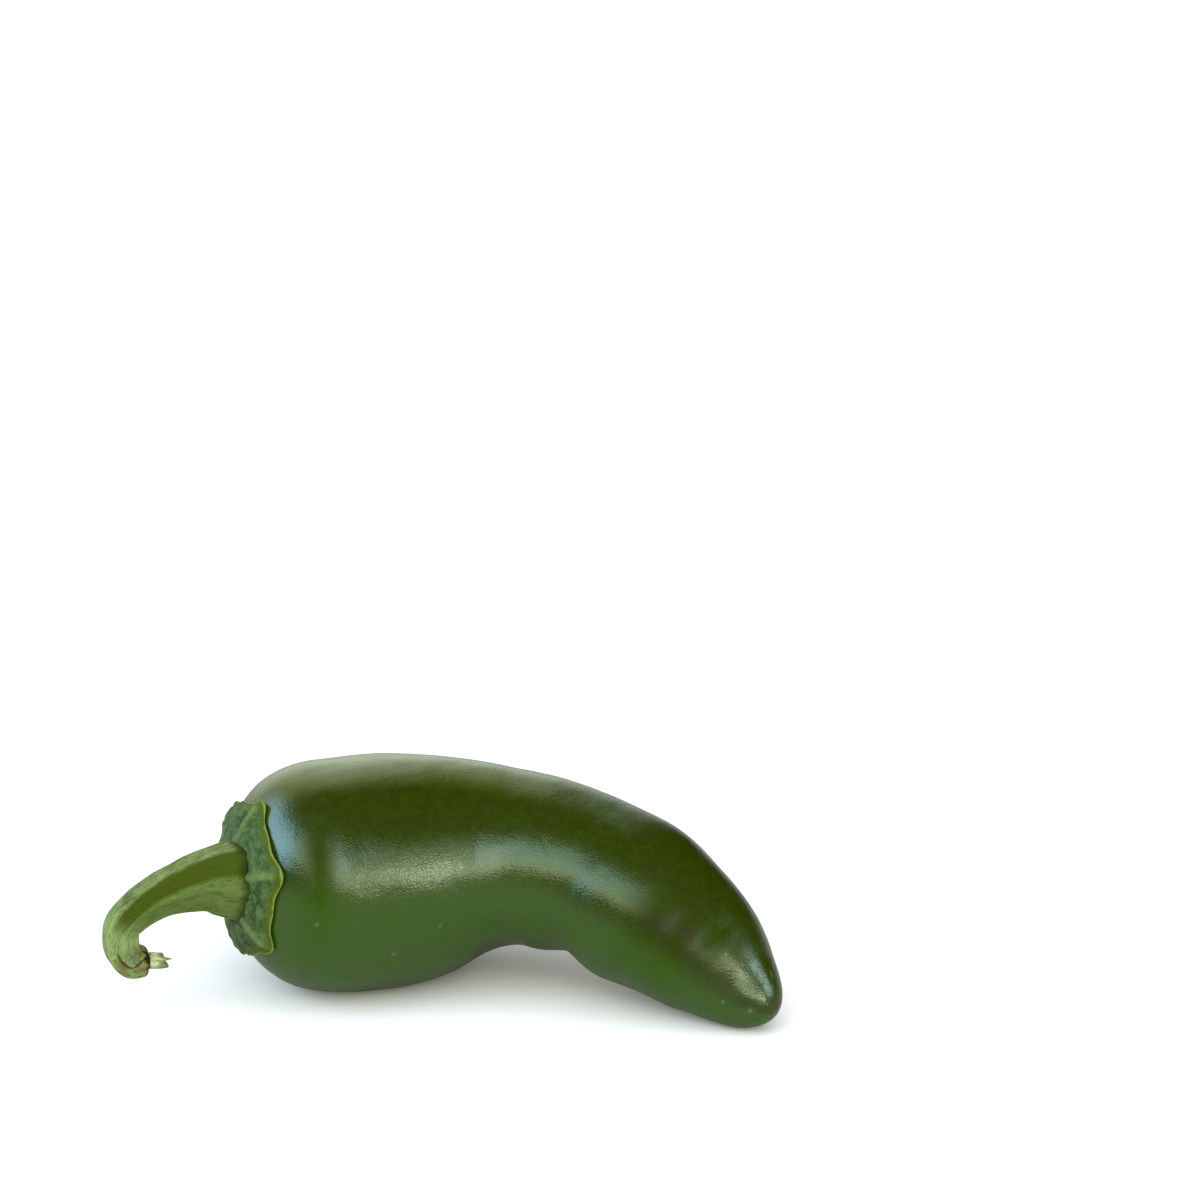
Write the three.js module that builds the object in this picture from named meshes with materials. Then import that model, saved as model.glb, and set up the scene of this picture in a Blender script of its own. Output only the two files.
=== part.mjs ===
// A green chilli pepper of the jalapeno type, whole and uncut, lying on its side as picked.
// Millimetres, +Z up. The origin is under the middle of the bounding box, on the surface it lies on.
// The pod bends with its hollow side towards -Y and down, so its middle arches off that surface, and
// its stem end points to -X.
import * as THREE from 'three';

// Pod spine from the stem end to the blossom end: x, y, z and the radius of the flesh
const podSpine = [
  [-27.5, -5.4, 17.3, 14.4],
  [-21.6, -2.9, 16.6, 14.9],
  [-14.4, -0.1, 15.75, 15.45],
  [-7.1, 2.4, 15.5, 15.5],
  [0.2, 3.8, 15.5, 14.55],
  [7.4, 3.6, 15.4, 13.45],
  [14.1, 1.9, 15.3, 12.45],
  [20.3, -1.0, 14.6, 11.5],
  [25.8, -4.6, 13.25, 11.0],
  [30.6, -7.9, 11.05, 9.7],
  [35.1, -10.6, 8.05, 8.15],
  [39.1, -13.4, 5.15, 5.9],
  [43.0, -16.9, 3.05, 4.7],
];
const shoulderLength = 12.5;
const shoulderPower = 2.1;
const shoulderLean = 0.06;
const tipLength = 9.5;
const tipPower = 2.0;
const lobes = 3;
const lobeHeight = 0.015;
const lobeTurn = 29;
const podRings = 56;
const podSides = 48;

// Hollows of the pod: place along the spine from 0 to 1, angle round it in degrees (0 faces -Y and
// 90 is up), depth, and spread along and round the pod. A negative depth is a swelling
const podHollows = [
  { along: 0.43, angle: -64, depth: 3.2, spreadAlong: 3.8, spreadRound: 7.0 },
  { along: 0.553, angle: -60, depth: 2.1, spreadAlong: 3.8, spreadRound: 7.0 },
  { along: 0.27, angle: -108, depth: -0.9, spreadAlong: 7.0, spreadRound: 5.0 },
];

// Calyx: a thin leathery cap on the shoulder with small teeth round its rim, angles in degrees
const gap = 0.3;
const calyxThickness = 0.7;
const rimThickness = 0.5;
const teeth = 6;
const toothTurn = 20;
const toothReach = 6;
const toothPower = 6;
const rimReach = 40;
const rimLean = 1.5;
const rimLeanTurn = -60;
const calyxRings = 9;
const calyxSides = 60;

// Stem spine from the calyx to the broken end: x, y, z and radius
const stemSpine = [
  [-28.8, -7.65, 17.85, 5.25],
  [-30.7, -8.6, 18.15, 3.85],
  [-33.1, -9.8, 18.0, 3.2],
  [-36.2, -10.9, 17.1, 2.7],
  [-38.7, -11.8, 15.7, 2.45],
  [-40.8, -12.3, 13.7, 2.3],
  [-41.3, -12.3, 11.2, 2.3],
  [-40.9, -12.0, 9.4, 2.3],
  [-39.8, -11.6, 8.2, 2.1],
  [-37.9, -11.1, 8.05, 1.75],
];
const stemBendNormal = new THREE.Vector3(-0.4, 0.92, 0);
const ribs = 6;
const ribHeight = 0.07;
const ribTurn = 28;
const ribStart = 0.12;
const neckLength = 1.5;
const brokenEndLength = 1.2;
const brokenEndPower = 3.0;
const footRings = 2;
const neckRings = 3;
const stemRings = 30;
const stemSides = 42;

// Core: the pale torn fibres that stand out of the stem's broken end
const coreRadius = 1.15;
const coreLength = 1.9;
const coreTaper = 0.2;
const coreTear = 0.15;
const coreRings = 5;
const coreSides = 16;

const up = new THREE.Vector3(0, 0, 1);
const radians = THREE.MathUtils.degToRad;

// Uniform Catmull-Rom through rows of numbers, with t from 0 at the first row to 1 at the last
function rowAt(rows, t) {
  const last = rows.length - 1;
  const place = THREE.MathUtils.clamp(t, 0, 1) * last;
  const k = Math.min(Math.floor(place), last - 1);
  const u = place - k;
  const extend = (inner, outer) => inner.map((value, n) => 2 * value - outer[n]);
  const b = rows[k];
  const c = rows[k + 1];
  const a = k > 0 ? rows[k - 1] : extend(b, c);
  const d = k + 2 <= last ? rows[k + 2] : extend(c, b);
  return b.map((value, n) => {
    const slope = c[n] - a[n];
    const bend = 2 * a[n] - 5 * value + 4 * c[n] - d[n];
    const twist = 3 * value - a[n] - 3 * c[n] + d[n];
    return value + 0.5 * u * (slope + u * (bend + u * twist));
  });
}

// The spine at t: its centre, radius and direction, and the two axes of the section across it
function sectionAt(rows, t, reference) {
  const step = 1e-4;
  const row = rowAt(rows, t);
  const before = new THREE.Vector3(...rowAt(rows, t - step));
  const along = new THREE.Vector3(...rowAt(rows, t + step)).sub(before).normalize();
  const lift = reference.clone().addScaledVector(along, -reference.dot(along)).normalize();
  const side = along.clone().cross(lift);
  return { centre: new THREE.Vector3(...row), radius: row[3], along, side, lift };
}

function lengthOf(rows) {
  const steps = 400;
  let total = 0;
  let from = new THREE.Vector3(...rowAt(rows, 0));
  for (let i = 1; i <= steps; i += 1) {
    const to = new THREE.Vector3(...rowAt(rows, i / steps));
    total += from.distanceTo(to);
    from = to;
  }
  return total;
}

// A point of a section at an angle from its side axis towards its lift axis
function pointAcross(section, radius, angle) {
  const point = section.centre.clone();
  point.addScaledVector(section.side, radius * Math.cos(angle));
  return point.addScaledVector(section.lift, radius * Math.sin(angle));
}

// The share of the full radius that is left near an end that closes over a given length
function capShare(distance, length, power) {
  const inside = THREE.MathUtils.clamp(1 - distance / length, 0, 1);
  return Math.pow(1 - Math.pow(inside, power), 1 / power);
}

function ringOf(sides, pointAt) {
  return Array.from({ length: sides }, (_, j) => pointAt(2 * Math.PI * j / sides));
}

// A closed mesh through rings of points, where a ring of one point closes an end
function loft(rings) {
  const positions = [];
  const starts = [];
  for (const ring of rings) {
    starts.push(positions.length / 3);
    for (const point of ring) positions.push(point.x, point.y, point.z);
  }
  const triangles = [];
  for (let i = 0; i + 1 < rings.length; i += 1) {
    const near = rings[i].length;
    const far = rings[i + 1].length;
    const sides = Math.max(near, far);
    for (let j = 0; j < sides; j += 1) {
      const next = (j + 1) % sides;
      const a = starts[i] + (near > 1 ? j : 0);
      const b = starts[i] + (near > 1 ? next : 0);
      const c = starts[i + 1] + (far > 1 ? next : 0);
      const d = starts[i + 1] + (far > 1 ? j : 0);
      if (near > 1) triangles.push(a, c, b);
      if (far > 1) triangles.push(a, d, c);
    }
  }
  const geometry = new THREE.BufferGeometry();
  geometry.setAttribute('position', new THREE.Float32BufferAttribute(positions, 3));
  geometry.setIndex(triangles);
  geometry.computeVertexNormals();
  return geometry;
}

const podLength = lengthOf(podSpine);

// How far the hollows press the skin in, at t along the spine and an angle round it
function hollowAt(t, angle, radius) {
  let depth = 0;
  for (const hollow of podHollows) {
    const turn = angle - radians(hollow.angle);
    const along = (t - hollow.along) * podLength / hollow.spreadAlong;
    const round = Math.atan2(Math.sin(turn), Math.cos(turn)) * radius / hollow.spreadRound;
    depth += hollow.depth * Math.exp(-0.5 * (along * along + round * round));
  }
  return depth;
}

// A point of the pod's skin at t along the spine and an angle round it
function podPoint(t, angle) {
  const section = sectionAt(podSpine, t, up);
  const lobed = section.radius * (1 + lobeHeight * Math.cos(lobes * (angle - radians(lobeTurn))));
  const shoulder = shoulderLength * (1 - shoulderLean * Math.sin(angle));
  const nearStem = capShare(t * podLength, shoulder, shoulderPower);
  const nearTip = capShare((1 - t) * podLength, tipLength, tipPower);
  return pointAcross(section, (lobed - hollowAt(t, angle, section.radius)) * nearStem * nearTip, angle);
}

// The pod, pressed flat where it would dip below the surface that it lies on
function podGeometry() {
  const settled = (t, angle) => {
    const point = podPoint(t, angle);
    point.z = Math.max(point.z, 0);
    return point;
  };
  const crowding = 0.75 / (2 * Math.PI);
  const rings = [[podPoint(0, 0)]];
  for (let i = 1; i < podRings; i += 1) {
    const even = i / podRings;
    const t = even - crowding * Math.sin(2 * Math.PI * even);
    rings.push(ringOf(podSides, (angle) => settled(t, angle)));
  }
  rings.push([podPoint(1, 0)]);
  return loft(rings);
}

// A point at a height over the pod's shoulder, where the polar angle is 0 at the pod's end
function shoulderPoint(polar, angle, height) {
  const step = 1e-3;
  const skin = (p, a) => podPoint(shoulderLength * (1 - Math.cos(p)) / podLength, a);
  const near = Math.max(polar, 0.02);
  const outwards = skin(near + step, angle).sub(skin(near - step, angle));
  const round = skin(near, angle + step).sub(skin(near, angle - step));
  const normal = outwards.cross(round).normalize();
  return skin(polar, angle).addScaledVector(normal, height);
}

// The polar angle of the calyx rim: a nearly even edge with a short pointed tooth at each turn
function rimPolar(angle) {
  const turn = teeth * (angle - radians(toothTurn)) / 2;
  const tooth = toothReach * Math.pow(Math.abs(Math.cos(turn)), toothPower);
  return radians(rimReach + tooth + rimLean * Math.cos(angle - radians(rimLeanTurn)));
}

function calyxGeometry() {
  const inner = (q, angle) => shoulderPoint(q * rimPolar(angle), angle, gap);
  const outer = (q, angle) => {
    const thickness = THREE.MathUtils.lerp(calyxThickness, rimThickness, Math.pow(q, 4));
    return shoulderPoint(q * rimPolar(angle), angle, gap + thickness);
  };
  const rings = [[outer(0, 0)]];
  for (let i = 1; i <= calyxRings; i += 1) {
    rings.push(ringOf(calyxSides, (angle) => outer(i / calyxRings, angle)));
  }
  for (let i = calyxRings; i >= 1; i -= 1) {
    rings.push(ringOf(calyxSides, (angle) => inner(i / calyxRings, angle)));
  }
  rings.push([inner(0, 0)]);
  return loft(rings);
}

const podEnd = sectionAt(podSpine, 0, up);

// Where a point lands on the shoulder, raised by a height, when it moves along the pod's axis
function landOnShoulder(point, height) {
  const reachOf = (offset) => Math.hypot(offset.dot(podEnd.side), offset.dot(podEnd.lift));
  const offset = point.clone().sub(podEnd.centre);
  const angle = Math.atan2(offset.dot(podEnd.lift), offset.dot(podEnd.side));
  const halvings = 40;
  let low = 0;
  let high = radians(rimReach);
  for (let i = 0; i < halvings; i += 1) {
    const middle = (low + high) / 2;
    const trial = shoulderPoint(middle, angle, height).sub(podEnd.centre);
    if (reachOf(trial) < reachOf(offset)) low = middle;
    else high = middle;
  }
  return shoulderPoint(low, angle, height);
}

function stemPoint(t, angle, share) {
  const section = sectionAt(stemSpine, t, stemBendNormal);
  const height = ribHeight * THREE.MathUtils.smoothstep(t, 0, ribStart);
  const ribbed = section.radius * (1 + height * Math.cos(ribs * (angle - radians(ribTurn))));
  return pointAcross(section, share * ribbed, angle);
}

// The stem: a foot that follows the calyx, a short neck, and the ribbed stalk to its broken end
function stemGeometry() {
  const length = lengthOf(stemSpine);
  const neckEnd = neckLength / length;
  const foot = (share, angle) => landOnShoulder(stemPoint(0, angle, share), 2 * gap + calyxThickness);
  const neck = (rise, angle) => foot(1, angle).lerp(stemPoint(neckEnd, angle, 1), rise);
  const rings = [[foot(0, 0)]];
  for (let i = 1; i <= footRings; i += 1) {
    rings.push(ringOf(stemSides, (angle) => foot(i / (footRings + 1), angle)));
  }
  for (let i = 0; i < neckRings; i += 1) {
    rings.push(ringOf(stemSides, (angle) => neck(i / neckRings, angle)));
  }
  const crowding = 0.1;
  for (let i = 0; i < stemRings; i += 1) {
    const even = i / stemRings;
    const t = THREE.MathUtils.lerp(neckEnd, 1, even + crowding * Math.sin(Math.PI * even));
    const share = capShare((1 - t) * length, brokenEndLength, brokenEndPower);
    rings.push(ringOf(stemSides, (angle) => stemPoint(t, angle, share)));
  }
  rings.push([sectionAt(stemSpine, 1, stemBendNormal).centre]);
  return loft(rings);
}

function coreGeometry() {
  const end = sectionAt(stemSpine, 1, stemBendNormal);
  const level = (height) => end.centre.clone().addScaledVector(end.along, gap + height);
  const torn = (angle) => coreTear * (Math.sin(2 * angle + 0.5) + Math.sin(5 * angle));
  const rough = (angle) => 1 + 0.1 * Math.sin(3 * angle + 1) + 0.06 * Math.sin(5 * angle + 2);
  const rings = [[level(0)]];
  for (let i = 0; i <= coreRings; i += 1) {
    const rise = i / coreRings;
    rings.push(ringOf(coreSides, (angle) => {
      const radius = coreRadius * (1 - coreTaper * rise) * rough(angle);
      const centre = level(coreLength * rise + torn(angle) * rise * rise);
      return pointAcross({ centre, side: end.side, lift: end.lift }, radius, angle);
    }));
  }
  rings.push([level(coreLength - 2 * coreTear)]);
  return loft(rings);
}

function part(name, geometry, color, roughness) {
  const material = new THREE.MeshStandardMaterial({ color, roughness, metalness: 0 });
  const mesh = new THREE.Mesh(geometry, material);
  mesh.name = name;
  return mesh;
}

const pepper = new THREE.Group();
pepper.add(part('pod', podGeometry(), 0x3f5c14, 0.25));
pepper.add(part('calyx', calyxGeometry(), 0x55784a, 0.6));
pepper.add(part('stem', stemGeometry(), 0x76973a, 0.6));
pepper.add(part('stem_core', coreGeometry(), 0xd3dcb4, 0.8));

export default pepper;
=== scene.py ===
"""A green chilli pepper of the jalapeno type, with its skin, calyx and stem dressed around the solids."""

import math

import bpy
import numpy as np
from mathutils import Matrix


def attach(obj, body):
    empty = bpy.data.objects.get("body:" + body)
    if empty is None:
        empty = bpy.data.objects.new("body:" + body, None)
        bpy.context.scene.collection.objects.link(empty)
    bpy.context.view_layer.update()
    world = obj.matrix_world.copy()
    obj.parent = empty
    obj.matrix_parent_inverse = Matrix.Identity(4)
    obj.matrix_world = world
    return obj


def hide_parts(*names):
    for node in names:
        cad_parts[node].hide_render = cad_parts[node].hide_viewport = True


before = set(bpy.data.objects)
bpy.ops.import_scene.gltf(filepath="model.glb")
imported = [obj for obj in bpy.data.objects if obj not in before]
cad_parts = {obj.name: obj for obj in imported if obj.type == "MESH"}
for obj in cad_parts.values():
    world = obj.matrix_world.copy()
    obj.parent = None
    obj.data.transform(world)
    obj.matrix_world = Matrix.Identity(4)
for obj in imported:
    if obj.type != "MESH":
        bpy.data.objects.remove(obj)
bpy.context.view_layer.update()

MM = 0.001
UP = np.array([0.0, 0.0, 1.0])

# Pod spine from the stem end to the blossom end, in millimetres: x, y, z and the radius of the flesh
POD_SPINE = [
    [-27.5, -5.4, 17.3, 14.4],
    [-21.6, -2.9, 16.6, 14.9],
    [-14.4, -0.1, 15.75, 15.45],
    [-7.1, 2.4, 15.5, 15.5],
    [0.2, 3.8, 15.5, 14.55],
    [7.4, 3.6, 15.4, 13.45],
    [14.1, 1.9, 15.3, 12.45],
    [20.3, -1.0, 14.6, 11.5],
    [25.8, -4.6, 13.25, 11.0],
    [30.6, -7.9, 11.05, 9.7],
    [35.1, -10.6, 8.05, 8.15],
    [39.1, -13.4, 5.15, 5.9],
    [43.0, -16.9, 3.05, 4.7],
]
SHOULDER_LENGTH = 12.5
SHOULDER_POWER = 2.1
SHOULDER_LEAN = 0.06
TIP_LENGTH = 9.5
TIP_POWER = 2.0
LOBES = 3
LOBE_HEIGHT = 0.015
LOBE_TURN = math.radians(29)
POD_ROWS = 460
POD_SIDES = 360
POD_END_CROWDING = 0.75

# Slow unevenness of the pod's skin: height, wavelength and the random draw's seed
POD_UNEVEN = [(0.035, 9.0, 3), (0.012, 3.5, 4)]

# Hollows of the pod: place along the spine, degrees round it, depth, and spread along and round the pod.
# A negative depth is a swelling
POD_HOLLOWS = [
    (0.43, -64, 3.2, 3.8, 7.0),
    (0.553, -60, 2.1, 3.8, 7.0),
    (0.27, -108, -0.9, 7.0, 5.0),
]

# Marks on the pod's skin: place along the spine, degrees round it, and spread along and round in millimetres.
# A dent also has a depth. A dull spot has a weaker and rougher highlight
POD_DENTS = [
    ((0.389, 31, 1.7, 4.5), 0.09),
    ((0.362, 20, 0.25, 0.25), 0.05),
    ((0.155, 24, 1.0, 5.0), 0.05),
]
POD_BLOTCHES = [
    (0.762, 29, 2.2, 1.1),
    (0.79, 33, 1.8, 1.3),
    (0.82, 27, 1.2, 0.7),
]
POD_DULL = [
    (0.745, 40, 2.6, 7.0),
    (0.785, 38, 3.0, 7.0),
    (0.83, 56, 2.6, 4.5),
    (0.865, 74, 2.4, 2.2),
    (0.096, 30, 1.3, 8.0),
]
POD_RUSTY = [
    (0.867, 50, 0.15, 0.13),
    (0.426, -64, 0.3, 0.3),
    (0.362, 20, 0.16, 0.16),
]
POD_PALE = [
    (0.926, 5, 0.16, 0.2),
    (0.974, 9, 0.16, 0.24),
    (0.21, -24, 0.18, 0.16),
    (0.096, -7, 0.16, 0.16),
    (0.955, 104, 0.4, 0.12),
    (0.3, -10, 0.16, 0.16),
    (0.52, 150, 0.3, 0.16),
    (0.7, -150, 0.2, 0.3),
]

# Calyx. Its reach over the shoulder is in degrees, and its heights are in millimetres
TEETH = 6
TOOTH_TURN = math.radians(20)
TOOTH_REACH = 6
TOOTH_POWER = 6
RIM_REACH = 40
RIM_LEAN = 1.5
RIM_LEAN_TURN = math.radians(-60)
CALYX_GAP = 0.12
CALYX_THICKNESS = 0.75
CALYX_VEIN_HEIGHT = 0.34
CALYX_VEIN_SPREAD = 0.36
CALYX_RIM_DROP = 0.32
CALYX_SPOT_TURN = math.radians(-68)

# Stem spine from the calyx to the broken end, in millimetres: x, y, z and radius
STEM_SPINE = [
    [-28.8, -7.65, 17.85, 5.25],
    [-30.7, -8.6, 18.15, 3.85],
    [-33.1, -9.8, 18.0, 3.2],
    [-36.2, -10.9, 17.1, 2.7],
    [-38.7, -11.8, 15.7, 2.45],
    [-40.8, -12.3, 13.7, 2.3],
    [-41.3, -12.3, 11.2, 2.3],
    [-40.9, -12.0, 9.4, 2.3],
    [-39.8, -11.6, 8.2, 2.1],
    [-37.9, -11.1, 8.05, 1.75],
]
STEM_BEND_NORMAL = np.array([-0.4, 0.92, 0.0])
RIBS = 6
RIB_TURN = math.radians(28)
RIB_HEIGHT = 0.5
RIB_MIDDLE = 0.4
# Which way the stalk's underside with painted shade faces
STEM_SHADED_SIDE_TURN = math.radians(-62)
STEM_PIT_TURN = math.radians(-160)
STEM_PIT_PLACE = 0.465
STEM_SEAT = 0.8
NECK_LENGTH = 1.5
FLOW_RADIUS = 2.6
FOOT_FLOW_RADIUS = 4.0
FOOT_ROW_LENGTH = 0.12

# Where a shallow groove with painted shade between ribs and a crack near the broken end lie: places along the
# stem, then degrees
GROOVE_SHADE_TURN = ([0.0, 0.1, 0.3, 0.5, 1.0], [-139, -136, -126, -116, -110])
CRACK_TURN = ([0.0, 0.69, 0.84, 0.9, 0.96, 1.0], [-120, -120, -110, -84, -60, -50])

# Torn fibres in the stem's broken end, in millimetres
CORE_LENGTH = 2.1
CORE_RAGGED = 0.35
CORE_RADIUS = 1.15
CORE_FLOW_RADIUS = 1.2

# Highlights of the skins, and how deep their bump is in metres
POD_IOR = 1.45
POD_BUMP = 0.00007
CALYX_IOR = 1.24
CALYX_BUMP = 0.00045
STEM_IOR = 1.18
STEM_BUMP = 0.0007
CORE_IOR = 1.4
CORE_BUMP = 0.0002
CORE_ROUGHNESS = 0.6

WHITE = (1.0, 1.0, 1.0, 1.0)
DULL_TINT = (0.06, 0.06, 0.06, 1.0)
FLOOR_HALF = 3.0
PAPER = (0.88, 0.88, 0.88, 1.0)
PAPER_IN_GLOSS = (0.42, 0.42, 0.4, 1.0)

# How much the slanted row of windows falls for each degree of turn, and how much of the windows' light other
# than glossy rays see
WINDOW_SLANT = 0.24
WINDOW_DIMMING = (0.46, 0.345, 0.36)

CAMERA_PLACE = (0.02056, -0.41073, 0.17912)
CAMERA_PITCH = math.radians(73)
CAMERA_LENS = 100.0
CAMERA_SENSOR = 36.0
CAMERA_NEAR = 0.01


def unit(vectors):
    return vectors / np.linalg.norm(vectors, axis=-1, keepdims=True)


def smooth(value, low, high):
    """0 below low, 1 above high, and a smooth step between them."""
    share = np.clip((value - low) / (high - low), 0, 1)
    return share * share * (3 - 2 * share)


def bump(value, middle, spread):
    return np.exp(-0.5 * ((value - middle) / spread) ** 2)


def turn_between(angle, other):
    """The signed turn from one angle to another, the short way round."""
    return np.arctan2(np.sin(angle - other), np.cos(angle - other))


def row_at(rows, t):
    """Uniform Catmull-Rom through rows of numbers, with t from 0 at the first row to 1 at the last."""
    rows = np.asarray(rows, float)
    last = len(rows) - 1
    place = np.clip(t, 0, 1) * last
    k = np.minimum(place.astype(int), last - 1)
    u = (place - k)[..., None]
    longer = np.vstack([2 * rows[0] - rows[1], rows, 2 * rows[-1] - rows[-2]])
    a, b, c, d = (longer[k + n] for n in range(4))
    slope = c - a
    bend = 2 * a - 5 * b + 4 * c - d
    twist = 3 * b - a - 3 * c + d
    return b + 0.5 * u * (slope + u * (bend + u * twist))


def section_at(rows, t, reference):
    """The spine's centre, radius and direction at t, and the side and lift axes across it."""
    step = 1e-4
    row = row_at(rows, t)
    along = unit(row_at(rows, t + step)[..., :3] - row_at(rows, t - step)[..., :3])
    lift = unit(reference - (along @ reference)[..., None] * along)
    side = np.cross(along, lift)
    return row[..., :3], row[..., 3], along, side, lift


def length_of(rows):
    points = row_at(rows, np.linspace(0, 1, 401))[:, :3]
    return float(np.linalg.norm(np.diff(points, axis=0), axis=1).sum())


def point_across(centre, side, lift, radius, angle):
    return centre + (radius * np.cos(angle))[..., None] * side + (radius * np.sin(angle))[..., None] * lift


def cap_share(distance, length, power):
    inside = np.clip(1 - distance / length, 0, 1)
    return (1 - inside**power) ** (1 / power)


def waves(points, wavelength, seed, count=24):
    """A smooth random field of about -1 to 1, as a sum of plane waves near one wavelength."""
    draw = np.random.default_rng(seed)
    directions = unit(draw.normal(size=(count, 3)))
    lengths = wavelength * draw.uniform(0.7, 1.5, count)
    phases = draw.uniform(0, 2 * math.pi, count)
    total = np.zeros(points.shape[:-1])
    for direction, length, phase in zip(directions, lengths, phases):
        total += np.sin(2 * math.pi * (points @ direction) / length + phase)
    return total / math.sqrt(count)


POD_LENGTH = length_of(POD_SPINE)


def pod_skin(t, angle):
    """A point of the pod's skin, in millimetres, at t along the spine and an angle round it."""
    centre, radius, _, side, lift = section_at(POD_SPINE, t, UP)
    lobed = radius * (1 + LOBE_HEIGHT * np.cos(LOBES * (angle - LOBE_TURN)))
    for place, degrees, depth, spread_along, spread_round in POD_HOLLOWS:
        away = (t - place) * POD_LENGTH
        round_it = turn_between(angle, math.radians(degrees)) * radius
        lobed = lobed - depth * bump(away, 0, spread_along) * bump(round_it, 0, spread_round)
    shoulder = SHOULDER_LENGTH * (1 - SHOULDER_LEAN * np.sin(angle))
    near_stem = cap_share(t * POD_LENGTH, shoulder, SHOULDER_POWER)
    near_tip = cap_share((1 - t) * POD_LENGTH, TIP_LENGTH, TIP_POWER)
    return point_across(centre, side, lift, lobed * near_stem * near_tip, angle)


def shoulder_skin(polar, angle, height):
    """A point at a height over the pod's shoulder, where the polar angle is 0 at the pod's end."""
    step = 1e-3

    def skin(p, a):
        return pod_skin(SHOULDER_LENGTH * (1 - np.cos(p)) / POD_LENGTH, a)

    near = np.maximum(polar, 0.02)
    outwards = skin(near + step, angle) - skin(near - step, angle)
    round_it = skin(near, angle + step) - skin(near, angle - step)
    normal = unit(np.cross(outwards, round_it))
    return skin(polar, angle) + np.asarray(height)[..., None] * normal


def grid(rows, sides):
    """Two arrays over a grid: the share of the way along, and the angle round."""
    along = np.linspace(0, 1, rows)
    round_it = np.arange(sides) * 2 * math.pi / sides
    return np.meshgrid(along, round_it, indexing="ij")


def ring_place(along, radius, angle):
    """Where a point lies on a plain cylinder, to lay random waves along and round a stalk."""
    return np.stack([along, radius * np.cos(angle), radius * np.sin(angle)], axis=-1)


def tube_mesh(name, points, marks):
    """A closed mesh piece through a grid of points in millimetres. Its first and last rows become one point
    each. marks are numbers for each point of the grid, kept as the mesh's named attributes."""
    rows, sides = points.shape[:2]
    inner = points[1:-1].reshape(-1, 3)
    vertices = np.vstack([points[0].mean(0), inner, points[-1].mean(0)]) * MM
    last = len(vertices) - 1
    k = np.arange(sides)
    after = (k + 1) % sides
    faces = [(0, 1 + a, 1 + b) for a, b in zip(k, after)]
    for i in range(rows - 3):
        low = 1 + i * sides
        high = low + sides
        faces += list(zip(low + k, high + k, high + after, low + after))
    end = 1 + (rows - 3) * sides
    faces += [(end + b, end + a, last) for a, b in zip(k, after)]
    mesh = bpy.data.meshes.new(name)
    mesh.from_pydata(vertices.tolist(), [], [tuple(int(v) for v in face) for face in faces])
    mesh.polygons.foreach_set("use_smooth", np.ones(len(mesh.polygons), bool))
    for mark, values in marks.items():
        flat = np.concatenate([[values[0].mean()], values[1:-1].ravel(), [values[-1].mean()]])
        attribute = mesh.attributes.new(mark, "FLOAT", "POINT")
        attribute.data.foreach_set("value", flat.astype(np.float32))
    piece = bpy.data.objects.new(name, mesh)
    bpy.context.scene.collection.objects.link(piece)
    return piece


class Nodes:
    """Short ways to add nodes to the tree of a material or of the world."""

    def __init__(self, tree):
        self.tree = tree
        tree.nodes.clear()

    def add(self, kind, inputs, **settings):
        node = self.tree.nodes.new("ShaderNode" + kind)
        for key, value in settings.items():
            setattr(node, key, value)
        for key, value in inputs.items():
            if isinstance(value, bpy.types.NodeSocket):
                self.tree.links.new(value, node.inputs[key])
            else:
                node.inputs[key].default_value = value
        return node

    def math(self, operation, a, b=0.0):
        return self.add("Math", {0: a, 1: b}, operation=operation).outputs[0]

    def vector_math(self, operation, a, b):
        return self.add("VectorMath", {0: a, 1: b}, operation=operation).outputs[0]

    def product(self, *values):
        total = values[0]
        for value in values[1:]:
            total = self.math("MULTIPLY", total, value)
        return total

    def total(self, *values):
        whole = values[0]
        for value in values[1:]:
            whole = self.math("ADD", whole, value)
        return whole

    def step(self, value, low, high, start=0.0, end=1.0):
        """A smooth step from start to end while the value goes from low to high."""
        inputs = {"Value": value, "From Min": low, "From Max": high, "To Min": start, "To Max": end}
        return self.add("MapRange", inputs, interpolation_type="SMOOTHSTEP").outputs["Result"]

    def mix(self, share, a, b):
        inputs = {0: share, 6: a, 7: b}
        return self.add("Mix", inputs, data_type="RGBA").outputs[2]

    def mark(self, name):
        return self.add("Attribute", {}, attribute_name=name).outputs["Fac"]

    def place(self):
        return self.add("TexCoord", {}).outputs["Object"]

    def stretched(self, vector, x, y, z):
        return self.vector_math("MULTIPLY", vector, (x, y, z))

    def noise(self, vector, scale, detail=3.0, rough=0.5):
        inputs = {"Vector": vector, "Scale": scale, "Detail": detail, "Roughness": rough}
        return self.add("TexNoise", inputs).outputs["Fac"]

    def vector(self, x, y, z):
        return self.add("CombineXYZ", {0: x, 1: y, 2: z}).outputs[0]


def srgb(red, green, blue):
    """A colour of 0 to 255 as the linear numbers that a shader takes."""
    channels = [c / 255 for c in (red, green, blue)]
    return (*(c / 12.92 if c <= 0.04045 else ((c + 0.055) / 1.055) ** 2.4 for c in channels), 1.0)


def finish_material(nodes, colour, roughness, height, distance, **sockets):
    """Adds the shader with its bump to a material's nodes. Height is in shares of the bump distance."""
    bumped = nodes.add("Bump", {"Height": height, "Distance": distance, "Strength": 1.0})
    inputs = {"Base Color": colour, "Roughness": roughness, "Normal": bumped.outputs[0]}
    shader = nodes.add("BsdfPrincipled", {**inputs, **sockets})
    nodes.add("OutputMaterial", {"Surface": shader.outputs[0]})


def new_material(name):
    material = bpy.data.materials.new(name)
    material.use_nodes = True
    return material, Nodes(material.node_tree)


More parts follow.
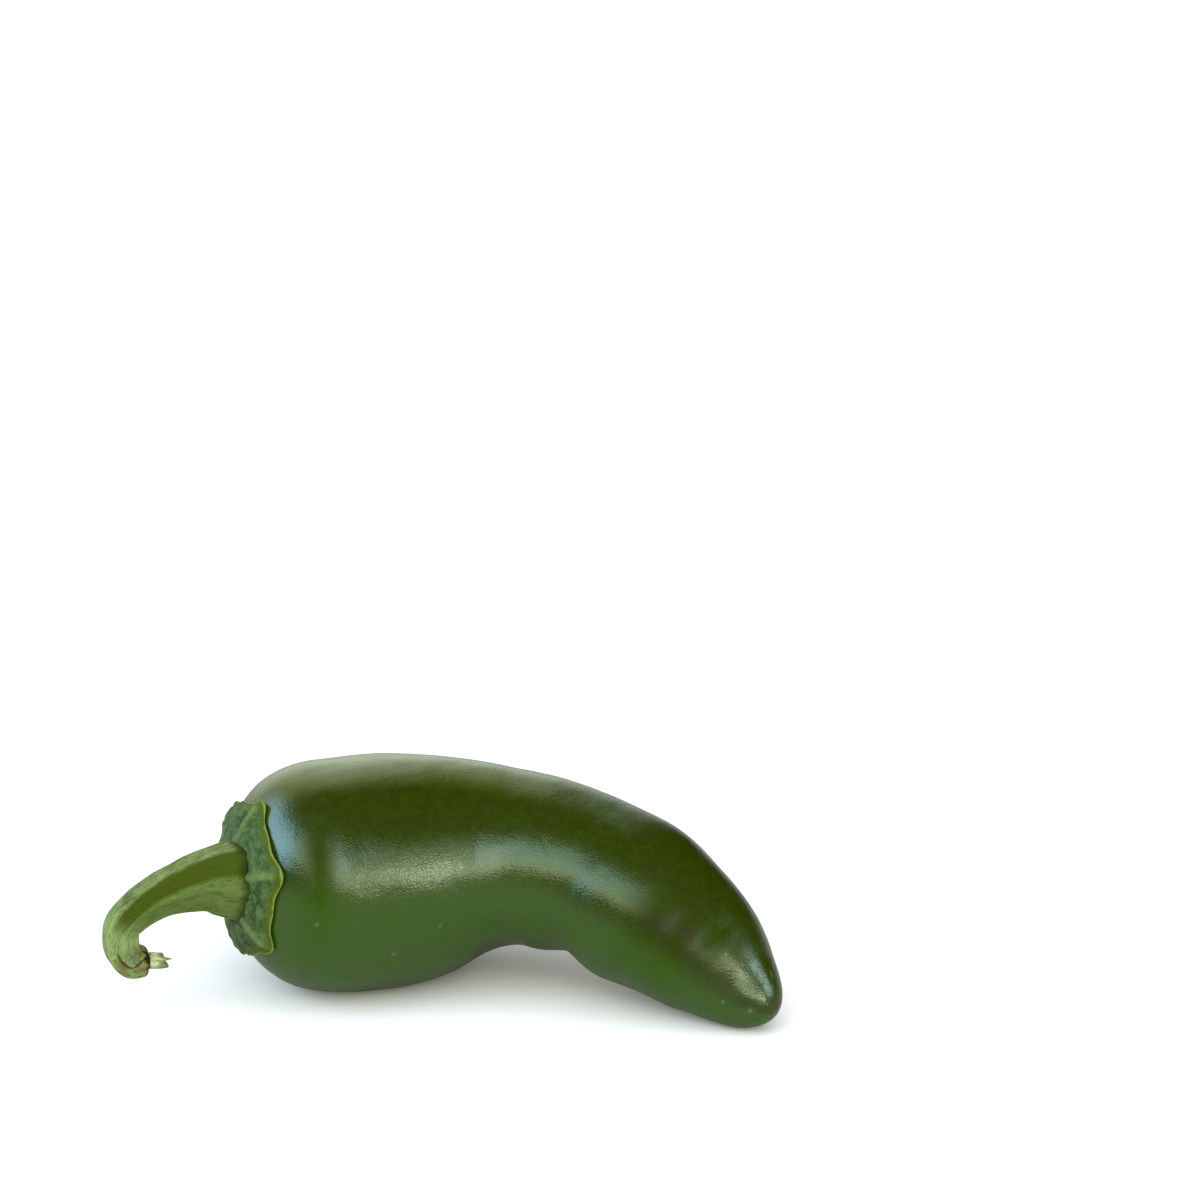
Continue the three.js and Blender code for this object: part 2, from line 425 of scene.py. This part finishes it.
def pod_material():
    material, nodes = new_material("pod_skin")
    place = nodes.place()
    ripe_tint_and_top_light = nodes.mark("ripe_tint_and_top_light")
    dull = nodes.mark("dull")
    patches = nodes.noise(place, 90.0, 4.0, 0.55)
    fine = nodes.noise(place, 900.0, 3.0, 0.6)
    streaks = nodes.noise(nodes.stretched(place, 1.0, 0.3, 0.3), 1500.0, 3.0, 0.6)
    olive = srgb(33, 43, 0)
    green = srgb(38, 64, 0)
    # Upper side olive, lower side greener: partly a sun-ripened tint of the skin, partly painted warm light
    # from above
    tone = nodes.step(nodes.total(ripe_tint_and_top_light, nodes.math("MULTIPLY", patches, 0.5)), 0.35, 1.15)
    colour = nodes.mix(tone, green, olive)
    # Painted light: a lighter, yellower strip along the top of the pod's stem half
    colour = nodes.mix(nodes.mark("painted_top_light"), colour, srgb(56, 60, 2))
    colour = nodes.mix(nodes.step(fine, 0.3, 0.75, 0.0, 0.2), colour, srgb(52, 74, 2))
    blotch = nodes.product(nodes.mark("blotch"), nodes.step(fine, 0.38, 0.6, 0.1, 0.8))
    colour = nodes.mix(blotch, colour, srgb(34, 28, 20))
    for mark, tint in (("rusty", (104, 80, 30)), ("pale", (176, 186, 150)), ("scar", (74, 52, 26))):
        colour = nodes.mix(nodes.mark(mark), colour, srgb(*tint))
    grain = nodes.noise(place, 4200.0, 2.0, 0.6)
    height = nodes.total(nodes.product(grain, 0.55), nodes.product(streaks, 0.45), nodes.product(fine, 0.45))
    roughness = nodes.total(nodes.step(grain, 0.3, 0.7, 0.15, 0.22), nodes.product(dull, 0.12))
    sockets = {"IOR": POD_IOR, "Specular Tint": nodes.mix(dull, WHITE, DULL_TINT)}
    finish_material(nodes, colour, roughness, height, POD_BUMP, **sockets)
    return material


def calyx_material():
    material, nodes = new_material("calyx_leather")
    place = nodes.place()
    vein = nodes.mark("vein")
    rim = nodes.mark("rim")
    mottle = nodes.noise(place, 700.0, 5.0, 0.65)
    base = nodes.mix(nodes.step(mottle, 0.35, 0.65), srgb(40, 62, 24), srgb(76, 100, 54))
    colour = nodes.mix(nodes.product(vein, 0.6), base, srgb(104, 124, 66))
    flecks = nodes.step(nodes.noise(place, 2200.0, 3.0, 0.7), 0.55, 0.7, 0.0, 0.6)
    colour = nodes.mix(flecks, colour, srgb(104, 120, 92))
    # Painted shade: a dark ring in the crease round the stem
    colour = nodes.mix(nodes.mark("crease_shade"), colour, srgb(34, 48, 16))
    colour = nodes.mix(nodes.mark("edge"), colour, srgb(68, 84, 4))
    colour = nodes.mix(rim, colour, srgb(122, 140, 72))
    colour = nodes.mix(nodes.mark("spot"), colour, srgb(104, 66, 34))
    grain = nodes.noise(place, 2600.0, 4.0, 0.65)
    roughness = nodes.step(mottle, 0.3, 0.7, 0.55, 0.4)
    finish_material(nodes, colour, roughness, grain, CALYX_BUMP, IOR=CALYX_IOR)
    return material


def stem_material():
    material, nodes = new_material("stem_bark")
    place = nodes.place()
    along = nodes.math("MULTIPLY", nodes.mark("along"), 0.22)
    streak_place = nodes.vector(along, nodes.mark("round_x"), nodes.mark("round_y"))
    streaks = nodes.noise(streak_place, 4.0, 5.0, 0.65)
    mottle = nodes.noise(place, 600.0, 4.0, 0.6)
    flecks = nodes.noise(place, 2600.0, 3.0, 0.7)
    pale = nodes.mix(nodes.step(mottle, 0.3, 0.7), srgb(86, 102, 50), srgb(120, 134, 80))
    # Painted shade on the stalk's underside, near the calyx
    colour = nodes.mix(nodes.mark("underside_shade"), pale, srgb(82, 101, 46))
    hook_colour = nodes.mix(mottle, srgb(118, 144, 80), srgb(136, 160, 104))
    colour = nodes.mix(nodes.mark("hook"), colour, hook_colour)
    # Painted shade in a groove between ribs
    colour = nodes.mix(nodes.mark("groove_and_shade"), colour, srgb(57, 70, 0))
    crack = nodes.step(streaks, 0.51, 0.64, 0.0, 0.7)
    colour = nodes.mix(crack, colour, srgb(52, 68, 14))
    colour = nodes.mix(nodes.step(flecks, 0.62, 0.74, 0.0, 0.45), colour, srgb(134, 146, 100))
    # Painted shade where the stalk meets the calyx, full on the foot and fading up the neck
    colour = nodes.mix(nodes.product(nodes.mark("crease_shade"), 0.85), colour, srgb(30, 42, 4))
    colour = nodes.mix(nodes.mark("bluish"), colour, srgb(88, 118, 98))
    stains = nodes.step(nodes.noise(place, 420.0, 4.0, 0.7), 0.42, 0.6)
    colour = nodes.mix(nodes.product(nodes.mark("stained"), stains), colour, srgb(98, 78, 40))
    colour = nodes.mix(nodes.mark("brown"), colour, srgb(50, 34, 18))
    height = nodes.total(
        nodes.product(streaks, -0.6), nodes.product(mottle, 0.3), nodes.product(flecks, 0.15)
    )
    roughness = nodes.step(streaks, 0.3, 0.7, 0.42, 0.6)
    finish_material(nodes, colour, roughness, height, STEM_BUMP, IOR=STEM_IOR)
    return material


def core_material():
    material, nodes = new_material("core_fibre")
    place = nodes.place()
    fibres = nodes.noise(nodes.stretched(place, 0.25, 1.0, 1.0), 2200.0, 4.0, 0.6)
    base = nodes.mix(nodes.step(fibres, 0.35, 0.65), srgb(104, 118, 66), srgb(168, 178, 134))
    colour = nodes.mix(nodes.step(nodes.mark("along"), 0.45, 0.8, 0.0, 0.75), base, srgb(72, 92, 34))
    finish_material(nodes, colour, CORE_ROUGHNESS, fibres, CORE_BUMP, IOR=CORE_IOR)
    return material


def pod_spots(t, angle, spots):
    """The greatest of several soft spots: place, degrees round, and spread along and round in millimetres."""
    radius = row_at(POD_SPINE, t)[..., 3] * cap_share((1 - t) * POD_LENGTH, TIP_LENGTH, TIP_POWER)
    most = np.zeros_like(t)
    for place, degrees, spread_along, spread_round in spots:
        away = (t - place) * POD_LENGTH
        round_it = turn_between(angle, math.radians(degrees)) * radius
        most = np.maximum(most, bump(away, 0, spread_along) * bump(round_it, 0, spread_round))
    return most


def make_pod():
    share, angle = grid(POD_ROWS, POD_SIDES)
    t = share - POD_END_CROWDING / (2 * math.pi) * np.sin(2 * math.pi * share)
    skin = pod_skin(t, angle)
    centre = row_at(POD_SPINE, t)[..., :3]
    outward = skin - centre
    outward /= np.maximum(np.linalg.norm(outward, axis=-1, keepdims=True), 1e-9)
    swell = sum(height * waves(skin, wavelength, seed) for height, wavelength, seed in POD_UNEVEN)
    for spot, depth in POD_DENTS:
        swell = swell - depth * pod_spots(t, angle, [spot])
    fade = smooth(t, 0.0, 0.08) * smooth(1 - t, 0.0, 0.04)
    skin = skin + (swell * fade)[..., None] * outward
    skin[..., 2] = np.maximum(skin[..., 2], 0)
    marks = {
        # Upper side: partly a sun-ripened tint, partly painted warm light from above
        "ripe_tint_and_top_light": smooth(np.sin(angle), -0.2, 0.6),
        # Painted light along the top of the pod's stem half
        "painted_top_light": smooth(np.sin(angle), 0.88, 0.99) * (1 - smooth(t, 0.35, 0.6)),
        "blotch": pod_spots(t, angle, POD_BLOTCHES),
        "dull": pod_spots(t, angle, POD_DULL),
        "rusty": pod_spots(t, angle, POD_RUSTY),
        "pale": 0.12 * pod_spots(t, angle, POD_PALE),
        "scar": 0.6 * smooth(t, 0.9985, 0.9999),
    }
    piece = tube_mesh("pod_skin", skin, marks)
    piece.data.materials.append(pod_material())
    return piece


def rim_polar(angle):
    turn = TEETH * (angle - TOOTH_TURN) / 2
    tooth = TOOTH_REACH * np.abs(np.cos(turn)) ** TOOTH_POWER
    return np.radians(RIM_REACH + tooth + RIM_LEAN * np.cos(angle - RIM_LEAN_TURN))


def make_calyx():
    rows_out = 70
    rows_in = 24
    sides = 480
    share, angle = grid(rows_out, sides)
    reach = share * rim_polar(angle)
    radius = POD_SPINE[0][3] * np.sin(reach)
    vein = np.zeros_like(share)
    for k in range(TEETH):
        across = turn_between(angle, TOOTH_TURN + k * 2 * math.pi / TEETH) * radius
        vein = np.maximum(vein, bump(across, 0, CALYX_VEIN_SPREAD) * smooth(share, 0.3, 0.45))
    flat = shoulder_skin(reach, angle, np.zeros_like(share))
    wrinkles = 0.07 * waves(flat, 1.2, 11) + 0.15 * waves(flat, 3.6, 12)
    near_stem = bump(share, 0.33, 0.1)
    folds = 0.2 * near_stem * np.sin(17 * angle + 3 * np.sin(2 * angle))
    edge = smooth(share, 0.86, 0.95)
    lift = 0.02 * bump(share, 0.975, 0.02) - CALYX_RIM_DROP * edge
    ridges = CALYX_VEIN_HEIGHT * vein
    height = CALYX_GAP + CALYX_THICKNESS + ridges + (wrinkles + folds) * smooth(share, 0.2, 0.4) + lift
    outer = shoulder_skin(reach, angle, height)
    # Painted shade in the crease round the stem's foot, uneven round the ring
    crease_shade = bump(share, 0.3, 0.055) * (0.6 + 0.4 * np.sin(9 * angle + 1.0))
    spot = bump(turn_between(angle, CALYX_SPOT_TURN) * radius, 0, 0.35) * bump(share, 0.93, 0.025)
    share_in, angle_in = grid(rows_in, sides)
    reach_in = share_in * rim_polar(angle_in)
    inner = shoulder_skin(reach_in, angle_in, CALYX_GAP + 0.2 * smooth(share_in, 0.85, 1.0))
    points = np.concatenate([outer, inner[::-1]])
    rim = smooth(share, 0.982, 0.994)
    inside = np.zeros_like(share_in)
    marks = {
        "vein": np.concatenate([vein, inside]),
        "crease_shade": np.concatenate([np.clip(crease_shade, 0, 1), inside]),
        "edge": np.concatenate([edge, inside]),
        "spot": np.concatenate([spot, inside]),
        "rim": np.concatenate([rim, np.ones_like(share_in)]),
    }
    piece = tube_mesh("calyx_cap", points, marks)
    piece.data.materials.append(calyx_material())
    return piece


def stem_point(t, angle, share, relief):
    centre, radius, _, side, lift = section_at(STEM_SPINE, t, STEM_BEND_NORMAL)
    return point_across(centre, side, lift, share * (radius + relief), angle)


def rib_profile(angle):
    """1 on each rib's crest and 0 in the grooves between them, with crests narrower than grooves."""
    return (0.5 + 0.5 * np.cos(RIBS * (angle - RIB_TURN))) ** 2.2


def land_on_shoulder(points, height):
    """Where points land on the shoulder, raised by a height, when they move along the pod's axis."""
    centre, _, _, side, lift = (value[0] for value in section_at(POD_SPINE, np.zeros(1), UP))
    offset = points - centre
    reach = np.hypot(offset @ side, offset @ lift)
    angle = np.arctan2(offset @ lift, offset @ side)
    low = np.zeros_like(reach)
    high = np.full_like(reach, math.radians(RIM_REACH))
    for _ in range(30):
        middle = (low + high) / 2
        trial = shoulder_skin(middle, angle, height) - centre
        short = np.hypot(trial @ side, trial @ lift) < reach
        low = np.where(short, middle, low)
        high = np.where(short, high, middle)
    return shoulder_skin(low, angle, height)


def make_stem():
    rows_foot = 8
    rows_neck = 16
    rows_stalk = 300
    sides = 240
    length = length_of(STEM_SPINE)
    neck_end = NECK_LENGTH / length
    share, angle = grid(rows_stalk, sides)
    t = neck_end + (1 - neck_end) * (share + 0.1 * np.sin(math.pi * share))
    t = np.minimum(t, 1.0)
    flow = ring_place(t * length * 0.35, FLOW_RADIUS, angle)
    rib = rib_profile(angle)
    strength = smooth(t, 0.0, 0.12)
    relief = RIB_HEIGHT * (rib - RIB_MIDDLE) * strength * (1 - 0.45 * t)
    relief = relief + 0.04 * waves(flow, 0.9, 21) + 0.06 * waves(flow, 2.8, 22)
    twist = np.radians(np.interp(t, GROOVE_SHADE_TURN[0], GROOVE_SHADE_TURN[1]))
    groove_shade_fade = 1 - smooth(t, 0.5, 0.64)
    # A shallow groove with painted shade, along two opposite sides of the stalk
    groove_and_shade = np.zeros_like(t)
    for turn in (0, math.pi):
        groove_and_shade = np.maximum(groove_and_shade, bump(turn_between(angle, twist + turn), 0, 0.3))
    groove_and_shade = smooth(groove_and_shade, 0.2, 0.6) * groove_shade_fade
    # Painted shade on the stalk's underside, fading out halfway along
    underside_shade = smooth(np.cos(turn_between(angle, STEM_SHADED_SIDE_TURN)), 0.1, 0.85) * (1 - smooth(t, 0.42, 0.58))
    crack_turn = np.radians(np.interp(t, CRACK_TURN[0], CRACK_TURN[1]))
    from_crack = turn_between(angle, crack_turn) * 2.3
    crack = bump(from_crack, 0, 0.13) * smooth(t, 0.68, 0.72)
    pit_across = turn_between(angle, STEM_PIT_TURN) * 2.5
    pit = bump(pit_across, 0, 0.3) * bump((t - STEM_PIT_PLACE) * length, 0, 0.4)
    relief = relief - 0.22 * crack - 0.25 * pit - 0.1 * groove_and_shade
    rings = 0.05 * np.sin(t * length * 5.0) * bump(from_crack, 1.3, 0.8) * smooth(t, 0.66, 0.74)
    relief = relief + rings
    closing = cap_share((1 - t) * length, 1.2, 3.0)
    stalk = stem_point(t, angle, closing, relief)
    share_neck, angle_neck = grid(rows_neck, sides)
    ring_angle = angle_neck[0]
    foot_flow = ring_place(np.zeros(sides), FOOT_FLOW_RADIUS, ring_angle)
    foot_relief = 0.45 * (rib_profile(ring_angle) - RIB_MIDDLE) + 0.22 * waves(foot_flow, 2.2, 24)
    foot_ring = stem_point(np.zeros(sides), ring_angle, 1.0, foot_relief)
    landed = land_on_shoulder(foot_ring, np.full(sides, STEM_SEAT))
    rise = share_neck[..., None]
    neck = landed[None] * (1 - rise) + stalk[0][None] * rise
    centre = row_at(STEM_SPINE, np.zeros(1))[0, :3]
    draw_in = np.linspace(0, 1, rows_foot)[:, None, None]
    foot = (centre + draw_in * (foot_ring - centre)).reshape(-1, 3)
    foot = land_on_shoulder(foot, np.full(rows_foot * sides, STEM_SEAT)).reshape(rows_foot, sides, 3)
    points = np.concatenate([foot, neck[1:-1], stalk])
    count = rows_foot + rows_neck - 2

    def mark(values):
        """The stalk's numbers, carried on over the neck and the foot from the stalk's first row."""
        return np.concatenate([np.repeat(values[:1], count, axis=0), values])

    foot_along = (np.arange(count) - count) * FOOT_ROW_LENGTH + t[0, 0] * length
    along = np.concatenate([np.repeat(foot_along[:, None], sides, axis=1), t * length])
    # Painted shade fading up the neck from the calyx
    neck_crease_shade = 1 - smooth(share_neck, 0.05, 0.45)
    ragged = 0.012 * waves(flow, 1.1, 23)
    brown = smooth(t + ragged, 0.955, 0.978) + 0.9 * crack + 0.9 * pit
    bluish = 0.6 * bump(from_crack, 1.4, 0.6) * smooth(t, 0.68, 0.76) * (1 - smooth(t, 0.88, 0.95))
    marks = {
        "along": along,
        "round_x": mark(FLOW_RADIUS * np.cos(angle)),
        "round_y": mark(FLOW_RADIUS * np.sin(angle)),
        "groove_and_shade": mark(groove_and_shade),
        "underside_shade": mark(underside_shade),
        "crease_shade": np.concatenate([np.ones((rows_foot, sides)), neck_crease_shade[1:-1], np.zeros_like(t)]),
        "bluish": mark(bluish),
        "hook": mark(0.8 * smooth(t, 0.46, 0.62)),
        "stained": mark(0.7 * smooth(t, 0.6, 0.8)),
        "brown": mark(np.clip(brown, 0, 1)),
    }
    piece = tube_mesh("stem_stalk", points, marks)
    piece.data.materials.append(stem_material())
    return piece


def make_core():
    rows = 40
    sides = 96
    end = section_at(STEM_SPINE, np.ones(1), STEM_BEND_NORMAL)
    centre, _, along, side, lift = (value[0] for value in end)
    share, angle = grid(rows, sides)
    end_place = ring_place(np.zeros_like(angle), CORE_FLOW_RADIUS, angle)
    flow = ring_place(share * 0.4, CORE_FLOW_RADIUS, angle)
    length = CORE_LENGTH + CORE_RAGGED * waves(end_place, 0.9, 31)
    radii = CORE_RADIUS * (1 - 0.2 * share) + 0.1 * waves(flow, 0.6, 32)
    radii = radii * smooth(1 - share, 0.0, 0.05) ** 0.5
    level = centre + (share * length)[..., None] * along
    points = point_across(level, side, lift, radii, angle)
    points[0] = centre
    piece = tube_mesh("stem_fibres", points, {"along": share})
    piece.data.materials.append(core_material())
    return piece


PIECES = [
    (make_pod, "pod"),
    (make_calyx, "calyx"),
    (make_stem, "stem"),
    (make_core, "stem_core"),
]
for make, node_name in PIECES:
    made = make()
    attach(made, "root")
    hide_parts(node_name)


def make_floor():
    half = FLOOR_HALF
    corners = [(-half, -half, 0), (half, -half, 0), (half, half, 0), (-half, half, 0)]
    mesh = bpy.data.meshes.new("floor")
    mesh.from_pydata(corners, [], [(0, 1, 2, 3)])
    floor = bpy.data.objects.new("floor", mesh)
    bpy.context.scene.collection.objects.link(floor)
    material, nodes = new_material("floor")
    glossy_ray = nodes.add("LightPath", {}).outputs["Is Glossy Ray"]
    paper = nodes.mix(glossy_ray, PAPER, PAPER_IN_GLOSS)
    shader = nodes.add("BsdfPrincipled", {"Base Color": paper, "Roughness": 0.9, "Specular IOR Level": 0.0})
    nodes.add("OutputMaterial", {"Surface": shader.outputs[0]})
    mesh.materials.append(material)


def make_world():
    """Soft studio light: a slanted row of windows in front, one on each side, and a pale wall behind. Glossy
    rays see the windows alone. Other rays see them dimmed, with a dome that is brightest above and in
    front."""
    world = bpy.data.worlds.new("studio")
    world.use_nodes = True
    bpy.context.scene.world = world
    nodes = Nodes(world.node_tree)
    split = nodes.add("SeparateXYZ", {0: nodes.add("TexCoord", {}).outputs["Generated"]})
    x, y, z = split.outputs
    to_degrees = 180 / math.pi
    turn = nodes.product(nodes.math("ARCTAN2", x, nodes.math("MULTIPLY", y, -1.0)), to_degrees)
    rise = nodes.product(nodes.math("ARCSINE", z), to_degrees)
    slanted = nodes.total(rise, nodes.product(turn, WINDOW_SLANT))

    def band(value, low, high, soft):
        up = nodes.step(value, low - soft / 2, low + soft / 2)
        down = nodes.step(value, high - soft / 2, high + soft / 2, 1.0, 0.0)
        return nodes.math("MULTIPLY", up, down)

    first = band(turn, -56.0, -4.0, 10.0)
    second = band(turn, -4.0, 25.0, 8.0)
    bar = band(turn, 25.0, 36.0, 8.0)
    third = band(turn, 36.0, 51.0, 8.0)
    high = nodes.product(nodes.step(slanted, 19.0, 25.0), nodes.step(slanted, 40.0, 58.0, 1.0, 0.0))
    low = nodes.product(nodes.step(slanted, 4.0, 13.0), nodes.step(slanted, 19.0, 25.0, 1.0, 0.0))
    third_low = nodes.product(nodes.step(slanted, 6.0, 15.0), nodes.step(slanted, 23.0, 31.0, 1.0, 0.0))
    right = nodes.product(band(turn, 67.0, 90.0, 8.0), band(rise, 12.0, 30.0, 8.0))
    left_falloff = nodes.step(turn, -130.0, -72.0, 0.45, 1.0)
    left = nodes.product(left_falloff, band(turn, -127.0, -60.0, 10.0), band(rise, 12.0, 40.0, 12.0))
    behind = nodes.total(nodes.step(turn, 161.0, 183.0), nodes.step(turn, -165.0, -110.0, 1.0, 0.0))
    back = nodes.product(behind, band(rise, -20.0, 53.0, 16.0))
    parts = [
        (nodes.product(first, high), (3.2, 5.1, 4.1)),
        (nodes.product(first, low), (5.5, 6.6, 4.0)),
        (nodes.product(second, high), (5.7, 7.8, 6.8)),
        (nodes.product(second, low), (7.8, 9.1, 5.9)),
        (nodes.product(bar, low), (3.3, 4.0, 2.7)),
        (nodes.product(third, high), (3.0, 4.5, 3.1)),
        (nodes.product(third, third_low), (15.5, 17.5, 11.9)),
        (right, (8.0, 11.4, 10.3)),
        (left, (4.9, 9.3, 11.6)),
        (back, (1.6, 1.88, 1.48)),
    ]
    colour = None
    for amount, radiance in parts:
        tinted = nodes.vector(*(nodes.math("MULTIPLY", amount, channel) for channel in radiance))
        colour = tinted if colour is None else nodes.vector_math("ADD", colour, tinted)
    dimmed = nodes.vector_math("MULTIPLY", colour, WINDOW_DIMMING)
    sky = nodes.product(nodes.step(rise, 20.0, 75.0, 0.85, 2.4), nodes.step(y, -0.4, 0.5, 1.0, 0.3))
    tinted_sky = nodes.vector(nodes.product(sky, 0.97), sky, nodes.product(sky, 1.08))
    dome = nodes.vector_math("ADD", dimmed, tinted_sky)
    rays = nodes.add("LightPath", {}).outputs
    lit = nodes.mix(rays["Is Glossy Ray"], dome, colour)
    seen = nodes.mix(rays["Is Camera Ray"], lit, WHITE)
    background = nodes.add("Background", {"Color": seen, "Strength": 1.0})
    nodes.add("OutputWorld", {"Surface": background.outputs[0]})


def make_camera():
    data = bpy.data.cameras.new("camera")
    data.lens = CAMERA_LENS
    data.sensor_width = CAMERA_SENSOR
    data.clip_start = CAMERA_NEAR
    camera = bpy.data.objects.new("camera", data)
    camera.location = CAMERA_PLACE
    camera.rotation_euler = (CAMERA_PITCH, 0.0, 0.0)
    bpy.context.scene.collection.objects.link(camera)
    bpy.context.scene.camera = camera


make_floor()
make_world()
make_camera()
bpy.context.scene.view_settings.view_transform = "Standard"
